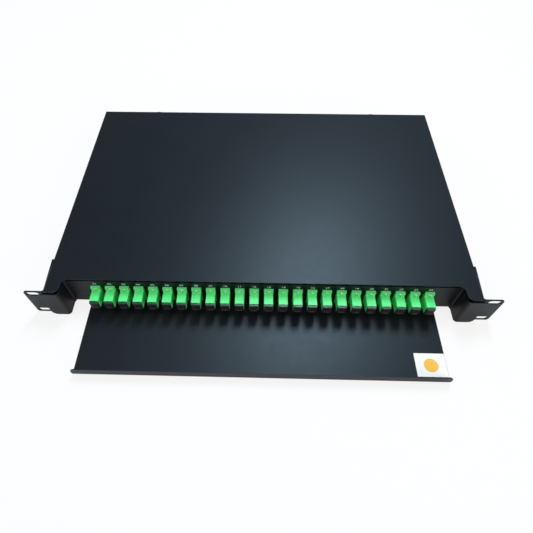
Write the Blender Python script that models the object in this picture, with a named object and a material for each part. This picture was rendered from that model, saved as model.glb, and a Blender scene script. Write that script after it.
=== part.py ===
"""Rack-mount fibre distribution box, 1U high, with a row of flanged adapters.

Metres, +Z up, front towards -Y. Heights are counted from the underside of the
floor sheet and depths from the front face of the rack ears. The whole model
hangs on one empty, which puts the middle of its footprint at the origin.
"""

import math

import bmesh
import bpy
from mathutils import Vector

# Driving sizes of the rack and of the sheet-metal box
RACK_WIDTH = 0.4826
EAR_REACH = 0.0221
SHEET = 0.0012
GAP = 0.0003
BODY_WIDTH = RACK_WIDTH - 2 * EAR_REACH
BODY_DEPTH = 0.2933
BODY_HEIGHT = 0.0444
TOP_LIP = 0.008
TOP_LIP_SHEET = 0.0012

# Front plate: two faces, two returns and a recessed panel, bent from one strip
FACE_AHEAD = 0.0033
FACE_SPAN = 0.0148
PLATE_OVERLAP = 0.0048
PLATE_WIDTH = BODY_WIDTH + 2 * PLATE_OVERLAP
PLATE_TOP = 0.0405
PLATE_CORNER = 0.0055
PLATE_TOP_CORNER = 0.0018
RECESS_WIDTH = BODY_WIDTH - 2 * FACE_SPAN
RECESS_DEPTH = 0.0172
FACE_BEND = 0.0036
PANEL_BEND = 0.0020
NOTCH_INSET = 0.0010
BEND_STEPS = 6
CORNER_STEPS = 4

# Cover: its front edge starts just behind the plate, so that its skirts clear it
COVER_FRONT_SETBACK = SHEET + GAP
COVER_SIDE_OVERHANG = 0.0008
COVER_PANEL_OVERHANG = 0.0004
COVER_OUTER_CORNER = 0.0050
COVER_INNER_CORNER = 0.0062
COVER_BEND = 0.0018
COVER_SKIRT_BOTTOM = 0.0015

# Rack ears: a flange with two slots and an arm along the side
EAR_SHEET = 0.0015
EAR_BOTTOM = 0.0004
EAR_HEIGHT = 0.0402
EAR_CORNER = 0.003
EAR_BEND = 0.0034
ARM_LENGTH = 0.040
ARM_CORNER = 0.004
SLOT_INSET = 0.00875
SLOT_SPACING = 0.03175
SLOT_LENGTH = 0.0125
SLOT_HEIGHT = 0.006
ARM_SCREW_HOLE = 0.0042
ARM_SCREW_SIDES = 10
ARM_SCREW_PITCH = 0.024

# Pull-out tray and its rails
TRAY_MARGIN = 0.0193
TRAY_SHEET = 0.0012
TRAY_AHEAD = 0.0704
TRAY_INSIDE = 0.088
TRAY_BEND = 0.0022
LIP_TOP = 0.0135
LIP_CORNER = 0.0055
TRAY_STOP_WIDTH = 0.016
RAIL_LENGTH = 0.142
RAIL_WIDTH = 0.0075
RAIL_SHEET = 0.0011

# Adapters: flanged, one port each
PORTS = 24
PORT_MARGIN = 0.0319
PORT_HEIGHT = 0.022
ADAPTER_WIDTH = 0.0093
ADAPTER_HEIGHT = 0.0127
ADAPTER_AHEAD = 0.0157
ADAPTER_BEHIND = 0.0122
ADAPTER_EDGE = 0.0005
FLANGE_WIDTH = 0.0096
FLANGE_HEIGHT = 0.022
FLANGE_SHEET = 0.0028
SOCKET_WIDTH = 0.0075
SOCKET_HEIGHT = 0.0092
SOCKET_DEPTH = 0.0118
KEYWAY_WIDTH = 0.0026
KEYWAY_DEPTH = 0.0009
SLEEVE_RADIUS = 0.0021
SLEEVE_BORE = 0.00125
SLEEVE_LENGTH = 0.0085
SLEEVE_SIDES = 10

# Dust caps
CAP_CLEARANCE = 0.0003
CAP_HEAD_WIDTH = 0.0088
CAP_HEAD_HEIGHT = 0.0108
CAP_HEAD_DEPTH = 0.0024
CAP_HEAD_EDGE = 0.0006
CAP_PLUG_DEPTH = 0.0086
CAP_SIDES = 10

# Splice tray inside the box
SPLICE_WIDTH = 0.190
SPLICE_DEPTH = 0.108
SPLICE_HEIGHT = 0.013
SPLICE_WALL = 0.0016
SPLICE_CORNER = 0.012
SPLICE_REAR_CORNER = 0.006
SPLICE_REAR_ROOM = 0.016
SPLICE_ENTRY = 0.012
COMB_SLOTS = 12
COMB_PITCH = 0.005
COMB_RIB = 0.0016
COMB_LENGTH = 0.038
COMB_HEIGHT = 0.006
LID_SHEET = 0.0016
HINGE_RADIUS = 0.0024
HINGE_PIN = 0.0011
HINGE_LENGTH = 0.010
HINGE_SPACING = 0.120
HINGE_PLAY = 0.00008
HINGE_SIDES = 12
PIN_SIDES = 10

# Cable glands in the rear wall
GLAND_INSET = 0.0692
GLAND_SPACING = BODY_WIDTH - 2 * GLAND_INSET
GLAND_HEIGHT = 0.0218
GLAND_THREAD = 0.0098
GLAND_BORE = 0.0052
GLAND_FLANGE = 0.0130
GLAND_FLANGE_DEPTH = 0.0045
GLAND_DOME_CURVE = (
    (0.0112, 0.00825),
    (0.01012, 0.0120),
    (0.00832, 0.01425),
    (0.0067, 0.0150),
)
GLAND_THREAD_INSIDE = 0.0080
GLAND_NUT = 0.0128
GLAND_NUT_DEPTH = 0.0042
GLAND_SIDES = 24

# Places that follow from the sizes above
FACE_Y = -FACE_AHEAD
PANEL_Y = FACE_Y + RECESS_DEPTH
REAR_Y = FACE_Y + BODY_DEPTH
RETURN_X = RECESS_WIDTH / 2
COVER_UNDERSIDE = BODY_HEIGHT - SHEET
WALL_TOP = COVER_UNDERSIDE - GAP
WALL_X = BODY_WIDTH / 2 - SHEET - GAP
PLATE_BOTTOM = GAP
EAR_MIDDLE = EAR_BOTTOM + EAR_HEIGHT / 2
TRAY_WIDTH = RECESS_WIDTH - 2 * TRAY_MARGIN
TRAY_BOTTOM = SHEET + GAP
TRAY_TOP = TRAY_BOTTOM + TRAY_SHEET
PORT_PITCH = (RECESS_WIDTH - 2 * PORT_MARGIN) / (PORTS - 1)
SPLICE_REAR_Y = REAR_Y - SHEET - SPLICE_REAR_ROOM
SPLICE_FRONT_Y = SPLICE_REAR_Y - SPLICE_DEPTH
SPLICE_BOTTOM = SHEET + GAP
SPLICE_TOP = SPLICE_BOTTOM + SPLICE_HEIGHT
LID_BOTTOM = SPLICE_TOP + GAP
HINGE_Y = SPLICE_REAR_Y + HINGE_RADIUS + GAP
HINGE_Z = LID_BOTTOM + LID_SHEET - HINGE_RADIUS
GLAND_DOME_DEPTH = GLAND_DOME_CURVE[-1][1]
GLAND_REAR_Y = REAR_Y + GAP + GLAND_FLANGE_DEPTH + GLAND_DOME_DEPTH
FOOTPRINT_MIDDLE_Y = (GLAND_REAR_Y - TRAY_AHEAD) / 2

CUT_OVERRUN = 0.004


def clear_scene():
    """Remove what the start-up file brought."""
    for item in list(bpy.data.objects):
        bpy.data.objects.remove(item, do_unlink=True)


def make_material(name, colour, roughness, metallic=0.0):
    """A plain Principled material."""
    material = bpy.data.materials.new(name)
    material.use_nodes = True
    shader = material.node_tree.nodes["Principled BSDF"]
    shader.inputs["Base Color"].default_value = (*colour, 1.0)
    shader.inputs["Roughness"].default_value = roughness
    shader.inputs["Metallic"].default_value = metallic
    material.diffuse_color = (*colour, 1.0)
    return material


def mesh_from(shape, name):
    """Turn a bmesh into a mesh with its faces pointing out."""
    bmesh.ops.recalc_face_normals(shape, faces=shape.faces[:])
    mesh = bpy.data.meshes.new(name)
    shape.to_mesh(mesh)
    shape.free()
    return mesh


def add_object(name, mesh, place=(0.0, 0.0, 0.0)):
    """Link a mesh to the scene as an object."""
    item = bpy.data.objects.new(name, mesh)
    item.location = place
    bpy.context.scene.collection.objects.link(item)
    return item


def prism(outline, low, high, axis="Z"):
    """Extrude a closed outline of 2D points between two levels of one axis."""
    place = {
        "X": lambda a, b: Vector((low, a, b)),
        "Y": lambda a, b: Vector((a, low, b)),
        "Z": lambda a, b: Vector((a, b, low)),
    }[axis]
    way = {"X": (1, 0, 0), "Y": (0, 1, 0), "Z": (0, 0, 1)}[axis]
    shape = bmesh.new()
    face = shape.faces.new([shape.verts.new(place(a, b)) for a, b in outline])
    grown = bmesh.ops.extrude_face_region(shape, geom=[face])
    top = [part for part in grown["geom"] if isinstance(part, bmesh.types.BMVert)]
    bmesh.ops.translate(shape, verts=top, vec=Vector(way) * (high - low))
    bmesh.ops.recalc_face_normals(shape, faces=shape.faces[:])
    return shape


def box(x_range, y_range, z_range):
    """A block between three pairs of limits."""
    corners = [
        (x_range[0], y_range[0]),
        (x_range[1], y_range[0]),
        (x_range[1], y_range[1]),
        (x_range[0], y_range[1]),
    ]
    return prism(corners, z_range[0], z_range[1])


def centred(middle, size):
    """Limits of a span around its middle."""
    return (middle - size / 2, middle + size / 2)


def join_shapes(shapes):
    """Put several loose shapes into one bmesh."""
    whole = bmesh.new()
    for shape in shapes:
        piece = mesh_from(shape, "loose")
        whole.from_mesh(piece)
        bpy.data.meshes.remove(piece)
    return whole


def arc(centre, radius, start, end, steps=BEND_STEPS):
    """Points on an arc, with angles in degrees."""
    angles = [math.radians(start + (end - start) * i / steps) for i in range(steps + 1)]
    return [
        (centre[0] + radius * math.cos(a), centre[1] + radius * math.sin(a)) for a in angles
    ]


def rounded_rectangle(x_range, z_range, radii):
    """Outline with a radius for each corner: low left, low right, top right, top left."""
    (x0, x1), (z0, z1) = x_range, z_range
    low_left, low_right, top_right, top_left = radii
    return (
        arc((x0 + low_left, z0 + low_left), low_left, 180, 270)
        + arc((x1 - low_right, z0 + low_right), low_right, 270, 360)
        + arc((x1 - top_right, z1 - top_right), top_right, 0, 90)
        + arc((x0 + top_left, z1 - top_left), top_left, 90, 180)
    )


def slot_outline(x_middle, z_middle, length, height):
    """A slot with round ends."""
    half = (length - height) / 2
    return arc((x_middle + half, z_middle), height / 2, -90, 90) + arc(
        (x_middle - half, z_middle), height / 2, 90, 270
    )


def bevel_edges(shape, chosen, width, segments=CORNER_STEPS):
    """Round the edges that the test picks."""
    edges = [edge for edge in shape.edges if chosen(edge)]
    bmesh.ops.bevel(
        shape,
        geom=edges,
        offset=width,
        offset_type="OFFSET",
        segments=segments,
        profile=0.5,
        affect="EDGES",
        material=-1,
    )


def near(value, target):
    """Whether two lengths agree."""
    return abs(value - target) < 1e-6


def edge_at(edge, test):
    """Whether both ends of an edge pass the test."""
    return all(test(vertex.co) for vertex in edge.verts)


def cutter(name, shape):
    """A tool body, kept in the scene but not part of the model."""
    tool = add_object(name, mesh_from(shape, name))
    tool.hide_render = True
    tool.display_type = "WIRE"
    return tool


def combine(item, tool, operation="DIFFERENCE"):
    """Cut, join or trim an object with a tool body."""
    step = item.modifiers.new(tool.name, "BOOLEAN")
    step.operation = operation
    step.solver = "EXACT"
    step.object = tool


def finish(item, material, root, smooth_angle=None):
    """Give an object its material and hang it on the model's empty."""
    if not item.data.materials:
        item.data.materials.append(material)
    item.parent = root
    for step in item.modifiers:
        step.object.parent = root
    if smooth_angle is not None:
        item.data.shade_smooth()
        item.data.set_sharp_from_angle(angle=math.radians(smooth_angle))
    return item


def bend_points(centre, radius, start, end, way):
    """Points round a bend, each with the direction that leads into the box."""
    return [
        ((centre[0] + radius * x, centre[1] + radius * y), (way * x, way * y))
        for x, y in arc((0.0, 0.0), 1.0, start, end)
    ]


def recess_edge(front_y, side_x, panel_y, outer_radius, inner_radius):
    """Front edge that runs round the recess, from left to right."""
    at_face = (-side_x - outer_radius, front_y + outer_radius)
    at_panel = (-side_x + inner_radius, panel_y - inner_radius)
    left = bend_points(at_face, outer_radius, -90, 0, -1) + bend_points(
        at_panel, inner_radius, 180, 90, 1
    )
    right = [((-p[0], p[1]), (-n[0], n[1])) for p, n in reversed(left)]
    return left + right


def plate_edge(setback=0.0):
    """The recess edge a given distance behind the plate's visible surface."""
    return recess_edge(
        FACE_Y + setback,
        RETURN_X + setback,
        PANEL_Y + setback,
        FACE_BEND - setback,
        PANEL_BEND + setback,
    )


def port_x(index):
    """Middle of a port, counted from the left."""
    return (index - (PORTS - 1) / 2) * PORT_PITCH


def make_chassis(material, root):
    """Floor, side walls and rear wall of one sheet, with lips for the cover."""
    front = [point for point, _ in plate_edge(SHEET + GAP)]
    front_y = front[0][1]
    outline = [(-WALL_X, REAR_Y), (-WALL_X, front_y), *front, (WALL_X, front_y), (WALL_X, REAR_Y)]
    chassis = add_object("chassis", mesh_from(prism(outline, 0.0, WALL_TOP), "chassis"))

    inner_x = WALL_X - SHEET
    inner_rear = REAR_Y - SHEET
    open_front = FACE_Y - CUT_OVERRUN
    room = box(
        (-inner_x, inner_x), (open_front, inner_rear), (SHEET, WALL_TOP - TOP_LIP_SHEET)
    )
    combine(chassis, cutter("chassis_room", room))
    mouth = box(
        (-inner_x + TOP_LIP, inner_x - TOP_LIP),
        (open_front, inner_rear - TOP_LIP),
        (WALL_TOP / 2, WALL_TOP + CUT_OVERRUN),
    )
    combine(chassis, cutter("chassis_mouth", mouth))

    holes = []
    for side in (-1, 1):
        hole = arc((side * GLAND_SPACING / 2, GLAND_HEIGHT), GLAND_THREAD + GAP, 0, 360, GLAND_SIDES)
        holes.append(prism(hole[:-1], inner_rear - CUT_OVERRUN, REAR_Y + CUT_OVERRUN, "Y"))
    combine(chassis, cutter("chassis_gland_holes", join_shapes(holes)))
    return finish(chassis, material, root)


def make_front_panel(material, root):
    """One bent strip with rounded corners, a tray notch and the port openings."""
    path = plate_edge()
    end_x = PLATE_WIDTH / 2
    visible = [(-end_x, FACE_Y), *[p for p, _ in path], (end_x, FACE_Y)]
    hidden = [
        (-end_x, FACE_Y + SHEET),
        *[(p[0] + n[0] * SHEET, p[1] + n[1] * SHEET) for p, n in path],
        (end_x, FACE_Y + SHEET),
    ]
    strip = prism(visible + hidden[::-1], PLATE_BOTTOM, PLATE_TOP)
    bevel_edges(
        strip,
        lambda edge: edge_at(edge, lambda v: near(abs(v.x), end_x))
        and edge_at(edge, lambda v: near(v.z, PLATE_BOTTOM)),
        PLATE_CORNER,
    )
    bevel_edges(
        strip,
        lambda edge: edge_at(edge, lambda v: near(abs(v.x), end_x))
        and edge_at(edge, lambda v: near(v.z, PLATE_TOP)),
        PLATE_TOP_CORNER,
    )
    panel = add_object("front_panel", mesh_from(strip, "front_panel"))

    notch = box(
        centred(0.0, RECESS_WIDTH - 2 * NOTCH_INSET),
        (PANEL_Y - PANEL_BEND, PANEL_Y + SHEET + CUT_OVERRUN),
        (PLATE_BOTTOM - CUT_OVERRUN, TRAY_TOP + GAP),
    )
    combine(panel, cutter("tray_notch", notch))

    openings = []
    for index in range(PORTS):
        openings.append(
            box(
                centred(port_x(index), ADAPTER_WIDTH + 2 * GAP),
                (PANEL_Y - CUT_OVERRUN, PANEL_Y + SHEET + CUT_OVERRUN),
                centred(PORT_HEIGHT, ADAPTER_HEIGHT + 2 * GAP),
            )
        )
    combine(panel, cutter("port_openings", join_shapes(openings)))
    return finish(panel, material, root)


def make_top_cover(material, root):
    """Top sheet with its edge cut round the recess, and a skirt on each side."""
    edge = [
        point
        for point, _ in recess_edge(
            FACE_Y + COVER_FRONT_SETBACK,
            RETURN_X - COVER_SIDE_OVERHANG,
            PANEL_Y - COVER_PANEL_OVERHANG,
            COVER_OUTER_CORNER,
            COVER_INNER_CORNER,
        )
    ]
    half = BODY_WIDTH / 2
    front_y = edge[0][1]
    outline = [(-half, REAR_Y), (-half, front_y), *edge, (half, front_y), (half, REAR_Y)]
    block = prism(outline, COVER_SKIRT_BOTTOM, BODY_HEIGHT)
    bevel_edges(
        block,
        lambda edge: edge_at(edge, lambda v: near(abs(v.x), half) and near(v.z, BODY_HEIGHT)),
        COVER_BEND,
    )
    cover = add_object("top_cover", mesh_from(block, "top_cover"))
    hollow = box(
        centred(0.0, BODY_WIDTH - 2 * SHEET),
        (FACE_Y - CUT_OVERRUN, REAR_Y + CUT_OVERRUN),
        (COVER_SKIRT_BOTTOM - CUT_OVERRUN, COVER_UNDERSIDE),
    )
    combine(cover, cutter("cover_hollow", hollow))
    return finish(cover, material, root)


def make_rack_ear(name, side, material, root):
    """Angle bracket: slotted flange in front, screwed arm along the side."""
    arm_x = BODY_WIDTH / 2 + GAP
    outer_x = arm_x + EAR_SHEET
    tip_x = RACK_WIDTH / 2
    rear_y = EAR_SHEET + ARM_LENGTH
    bend = (arm_x + EAR_BEND, EAR_BEND)
    profile = [
        (tip_x, 0.0),
        (tip_x, EAR_SHEET),
        *arc(bend, EAR_BEND - EAR_SHEET, 270, 180),
        (outer_x, rear_y),
        (arm_x, rear_y),
        *arc(bend, EAR_BEND, 180, 270),
    ]
    shape = prism([(side * x, y) for x, y in profile], EAR_BOTTOM, EAR_BOTTOM + EAR_HEIGHT)
    bevel_edges(
        shape,
        lambda edge: edge_at(edge, lambda v: near(abs(v.x), tip_x))
        and near(edge.verts[0].co.z, edge.verts[1].co.z),
        EAR_CORNER,
    )
    bevel_edges(
        shape,
        lambda edge: edge_at(edge, lambda v: near(v.y, rear_y))
        and near(edge.verts[0].co.z, edge.verts[1].co.z),
        ARM_CORNER,
    )
    ear = add_object(name, mesh_from(shape, name))

    cuts = []
    for step in (-1, 1):
        slot = slot_outline(
            side * (tip_x - SLOT_INSET),
            EAR_MIDDLE + step * SLOT_SPACING / 2,
            SLOT_LENGTH,
            SLOT_HEIGHT,
        )
        cuts.append(prism(slot, -CUT_OVERRUN, EAR_SHEET + CUT_OVERRUN, "Y"))
        hole = arc(
            (EAR_SHEET + ARM_LENGTH / 2 + step * ARM_SCREW_PITCH / 2, EAR_MIDDLE),
            ARM_SCREW_HOLE / 2,
            0,
            360,
            ARM_SCREW_SIDES,
        )
        ends = sorted((side * (arm_x - CUT_OVERRUN), side * (outer_x + CUT_OVERRUN)))
        cuts.append(prism(hole[:-1], ends[0], ends[1], "X"))
    combine(ear, cutter(name + "_cuts", join_shapes(cuts)))
    return finish(ear, material, root)


def make_pull_out_tray(material, root):
    """Flat sheet with a turned-up lip in front and a stop tab at each rear corner."""
    front_y = -TRAY_AHEAD
    bend = (front_y + TRAY_BEND, TRAY_BOTTOM + TRAY_BEND)
    profile = [
        (TRAY_INSIDE, TRAY_BOTTOM),
        (TRAY_INSIDE, TRAY_TOP),
        *arc(bend, TRAY_BEND - TRAY_SHEET, 270, 180),
        (front_y + TRAY_SHEET, LIP_TOP),
        (front_y, LIP_TOP),
        *arc(bend, TRAY_BEND, 180, 270),
    ]
    half = TRAY_WIDTH / 2
    shape = prism(profile, -half, half, "X")
    tray = add_object("pull_out_tray", mesh_from(shape, "pull_out_tray"))
    corner = [
        *arc((half - LIP_CORNER, LIP_TOP - LIP_CORNER), LIP_CORNER, 0, 90),
        (half - LIP_CORNER, LIP_TOP + CUT_OVERRUN),
        (half + CUT_OVERRUN, LIP_TOP + CUT_OVERRUN),
        (half + CUT_OVERRUN, LIP_TOP - LIP_CORNER),
    ]
    ends = (front_y - CUT_OVERRUN, front_y + TRAY_SHEET + CUT_OVERRUN)
    corners = [prism([(side * x, z) for x, z in corner], *ends, "Y") for side in (-1, 1)]
    combine(tray, cutter("tray_lip_corners", join_shapes(corners)))
    tabs = box(
        centred(0.0, TRAY_WIDTH - 2 * TRAY_STOP_WIDTH),
        (TRAY_INSIDE - TRAY_STOP_WIDTH, TRAY_INSIDE + CUT_OVERRUN),
        (TRAY_BOTTOM - CUT_OVERRUN, TRAY_TOP + CUT_OVERRUN),
    )
    combine(tray, cutter("tray_rear_notch", tabs))
    return finish(tray, material, root)


def make_rail(name, side, material, root):
    """Channel on the floor that holds one edge of the tray."""
    inner_x = TRAY_WIDTH / 2 + GAP
    outer_x = inner_x + RAIL_SHEET
    lip_x = outer_x - RAIL_WIDTH
    low = SHEET + GAP
    lip_low = TRAY_TOP + GAP
    high = lip_low + RAIL_SHEET
    profile = [
        (inner_x, low),
        (outer_x, low),
        (outer_x, high),
        (lip_x, high),
        (lip_x, lip_low),
        (inner_x, lip_low),
    ]
    front_y = PANEL_Y + SHEET + 2 * GAP
    shape = prism([(side * x, z) for x, z in profile], front_y, front_y + RAIL_LENGTH, "Y")
    rail = add_object(name, mesh_from(shape, name))
    return finish(rail, material, root)


def adapter_mesh(material):
    """Housing with flange, a keyed socket at each end and a sleeve between them."""
    front = -ADAPTER_AHEAD
    rear = SHEET + ADAPTER_BEHIND
    body = box(centred(0, ADAPTER_WIDTH), (front, rear), centred(0, ADAPTER_HEIGHT))
    bevel_edges(
        body,
        lambda edge: near(edge.verts[0].co.x, edge.verts[1].co.x)
        and near(edge.verts[0].co.z, edge.verts[1].co.z),
        ADAPTER_EDGE,
        segments=1,
    )
    housing = add_object("adapter_housing", mesh_from(body, "adapter_housing"))
    flange = box(
        centred(0, FLANGE_WIDTH), (-GAP - FLANGE_SHEET, -GAP), centred(0, FLANGE_HEIGHT)
    )
    tools = [cutter("adapter_flange", flange)]
    combine(housing, tools[0], "UNION")

    half_x = SOCKET_WIDTH / 2
    half_z = SOCKET_HEIGHT / 2
    key = KEYWAY_WIDTH / 2
    outline = [
        (-half_x, -half_z),
        (half_x, -half_z),
        (half_x, half_z),
        (key, half_z),
        (key, half_z + KEYWAY_DEPTH),
        (-key, half_z + KEYWAY_DEPTH),
        (-key, half_z),
        (-half_x, half_z),
    ]
    sockets = [
        prism(outline, front - CUT_OVERRUN, front + SOCKET_DEPTH, "Y"),
        prism(outline, rear - SOCKET_DEPTH, rear + CUT_OVERRUN, "Y"),
    ]
    tools.append(cutter("adapter_sockets", join_shapes(sockets)))
    combine(housing, tools[1])

    around = arc((0, 0), SLEEVE_RADIUS, 0, 360, SLEEVE_SIDES)[:-1]
    bore = arc((0, 0), SLEEVE_BORE, 0, 360, SLEEVE_SIDES)[:-1]
    web_front = front + SOCKET_DEPTH
    web_rear = rear - SOCKET_DEPTH
    sleeve = prism(around, web_front - SLEEVE_LENGTH, web_rear + SLEEVE_LENGTH, "Y")
    tools.append(cutter("adapter_sleeve", sleeve))
    combine(housing, tools[2], "UNION")
    reach = web_rear - web_front + 2 * (SLEEVE_LENGTH + CUT_OVERRUN)
    middle = (web_front + web_rear) / 2
    tools.append(
        cutter("adapter_bore", prism(bore, middle - reach / 2, middle + reach / 2, "Y"))
    )
    combine(housing, tools[3])
    return bake(housing, tools, "adapter", material)


def cap_mesh(material):
    """Dust cap: a head that covers the socket and a hollow plug that fills it."""
    head_front = -ADAPTER_AHEAD - GAP - CAP_HEAD_DEPTH
    head_rear = head_front + CAP_HEAD_DEPTH
    head = box(centred(0, CAP_HEAD_WIDTH), (head_front, head_rear), centred(0, CAP_HEAD_HEIGHT))
    bevel_edges(
        head,
        lambda edge: edge_at(edge, lambda v: near(v.y, head_front)),
        CAP_HEAD_EDGE,
        segments=1,
    )
    cap = add_object("cap_head", mesh_from(head, "cap_head"))
    plug_rear = head_rear + CAP_PLUG_DEPTH
    plug = box(
        centred(0, SOCKET_WIDTH - 2 * CAP_CLEARANCE),
        (head_front + CAP_HEAD_DEPTH / 2, plug_rear),
        centred(0, SOCKET_HEIGHT - 2 * CAP_CLEARANCE),
    )
    tools = [cutter("cap_plug", plug)]
    combine(cap, tools[0], "UNION")
    hollow = arc((0, 0), SLEEVE_RADIUS + CAP_CLEARANCE, 0, 360, CAP_SIDES)[:-1]
    tools.append(cutter("cap_hollow", prism(hollow, head_rear, plug_rear + CUT_OVERRUN, "Y")))
    combine(cap, tools[1])
    return bake(cap, tools, "dust_cap", material)


def bake(item, tools, name, material):
    """Keep the shape that the modifiers make, and drop the working objects."""
    graph = bpy.context.evaluated_depsgraph_get()
    graph.update()
    mesh = bpy.data.meshes.new_from_object(item.evaluated_get(graph))
    mesh.name = name
    mesh.materials.clear()
    mesh.materials.append(material)
    for used in [item, *tools]:
        bpy.data.objects.remove(used, do_unlink=True)
    return mesh


def make_ports(green, black, root):
    """A row of adapters through the panel, each with its dust cap."""
    housing = adapter_mesh(green)
    cap = cap_mesh(black)
    for index in range(PORTS):
        place = (port_x(index), PANEL_Y, PORT_HEIGHT)
        number = "{:02d}".format(index + 1)
        finish(add_object("adapter_" + number, housing, place), green, root)
        finish(add_object("dust_cap_" + number, cap, place), black, root)


def hinge_barrel(x_range, y, z):
    """Round knuckle along X."""
    ring = arc((y, z), HINGE_RADIUS, 0, 360, HINGE_SIDES)[:-1]
    return prism(ring, x_range[0], x_range[1], "X")


def make_splice_tray(material, root):
    """Shallow box for spliced fibres, with a comb of splice holders."""
    outline = rounded_rectangle(
        centred(0.0, SPLICE_WIDTH),
        (SPLICE_FRONT_Y, SPLICE_REAR_Y),
        (SPLICE_CORNER,) * 2 + (SPLICE_REAR_CORNER,) * 2,
    )
    block = prism(outline, SPLICE_BOTTOM, SPLICE_TOP)
    tray = add_object("splice_tray", mesh_from(block, "splice_tray"))
    inside = rounded_rectangle(
        centred(0.0, SPLICE_WIDTH - 2 * SPLICE_WALL),
        (SPLICE_FRONT_Y + SPLICE_WALL, SPLICE_REAR_Y - SPLICE_WALL),
        (SPLICE_CORNER - SPLICE_WALL,) * 2 + (SPLICE_REAR_CORNER - SPLICE_WALL,) * 2,
    )
    floor_top = SPLICE_BOTTOM + SPLICE_WALL
    combine(tray, cutter("splice_room", prism(inside, floor_top, SPLICE_TOP + CUT_OVERRUN)))

    entries = []
    entry_y = SPLICE_FRONT_Y + SPLICE_CORNER + SPLICE_ENTRY
    for side in (-1, 1):
        entries.append(
            box(
                centred(side * SPLICE_WIDTH / 2, 2 * CUT_OVERRUN),
                centred(entry_y, SPLICE_ENTRY),
                (floor_top, SPLICE_TOP + CUT_OVERRUN),
            )
        )
    combine(tray, cutter("splice_entries", join_shapes(entries)))

    middle_y = (SPLICE_FRONT_Y + SPLICE_REAR_Y) / 2
    ribs = []
    for index in range(COMB_SLOTS + 1):
        rib_x = (index - COMB_SLOTS / 2) * COMB_PITCH
        ribs.append(
            box(
                centred(rib_x, COMB_RIB),
                centred(middle_y, COMB_LENGTH),
                (floor_top - SPLICE_WALL / 2, floor_top + COMB_HEIGHT),
            )
        )
    combine(tray, cutter("splice_comb", join_shapes(ribs)), "UNION")

    knuckles = []
    lugs = []
    for side in (-1, 1):
        for step in (-1, 1):
            middle_x = side * HINGE_SPACING / 2 + step * (HINGE_LENGTH + GAP)
            span = centred(middle_x, HINGE_LENGTH)
            depth = (SPLICE_REAR_Y - SPLICE_WALL / 2, HINGE_Y)
            height = (HINGE_Z - HINGE_RADIUS, HINGE_Z - HINGE_RADIUS / 2)
            knuckles.append(hinge_barrel(span, HINGE_Y, HINGE_Z))
            lugs.append(box(span, depth, height))
    combine(tray, cutter("splice_knuckles", join_shapes(knuckles)), "UNION")
    combine(tray, cutter("splice_lugs", join_shapes(lugs)), "UNION")
    pins = []
    for side in (-1, 1):
        pin = arc((HINGE_Y, HINGE_Z), HINGE_PIN, 0, 360, PIN_SIDES)[:-1]
        ends = centred(side * HINGE_SPACING / 2, HINGE_LENGTH + 3 * GAP)
        pins.append(prism(pin, ends[0], ends[1], "X"))
    combine(tray, cutter("splice_pins", join_shapes(pins)), "UNION")
    return finish(tray, material, root)


def make_splice_lid(material, root):
    """Lid of the splice tray, with its origin on the hinge."""
    outline = rounded_rectangle(
        centred(0.0, SPLICE_WIDTH),
        (SPLICE_FRONT_Y - HINGE_Y, SPLICE_REAR_Y - HINGE_Y),
        (SPLICE_CORNER,) * 2 + (SPLICE_REAR_CORNER,) * 2,
    )
    low = LID_BOTTOM - HINGE_Z
    high = low + LID_SHEET
    lid = add_object(
        "splice_tray_lid", mesh_from(prism(outline, low, high), "splice_tray_lid")
    )
    lid.location = (0.0, HINGE_Y, HINGE_Z)
    knuckles = []
    arms = []
    bores = []
    for side in (-1, 1):
        span = centred(side * HINGE_SPACING / 2, HINGE_LENGTH)
        knuckles.append(hinge_barrel(span, 0.0, 0.0))
        arms.append(box(span, (SPLICE_REAR_Y - HINGE_Y - LID_SHEET, 0.0), (low, high)))
        ring = arc((0.0, 0.0), HINGE_PIN + HINGE_PLAY, 0, 360, PIN_SIDES)[:-1]
        bores.append(prism(ring, span[0] - CUT_OVERRUN, span[1] + CUT_OVERRUN, "X"))
    for name, shapes, operation in (
        ("lid_knuckles", knuckles, "UNION"),
        ("lid_arms", arms, "UNION"),
        ("lid_bores", bores, "DIFFERENCE"),
    ):
        tool = cutter(name, join_shapes(shapes))
        tool.location = lid.location
        combine(lid, tool, operation)
    return finish(lid, material, root)


def turned(profile):
    """Turn a closed profile of radius and depth points round the Y axis."""
    shape = bmesh.new()
    ring = [shape.verts.new((radius, y, 0.0)) for radius, y in profile]
    edges = [shape.edges.new((ring[i - 1], ring[i])) for i in range(len(ring))]
    bmesh.ops.spin(
        shape,
        geom=edges + ring,
        cent=(0, 0, 0),
        axis=(0, 1, 0),
        angle=2 * math.pi,
        steps=GLAND_SIDES,
        use_merge=True,
    )
    bmesh.ops.remove_doubles(shape, verts=shape.verts[:], dist=1e-6)
    return shape


def hexagon(radius):
    """Six corners of a nut, with two flats level."""
    return [
        (radius * math.cos(math.radians(60 * i)), radius * math.sin(math.radians(60 * i)))
        for i in range(6)
    ]


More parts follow.
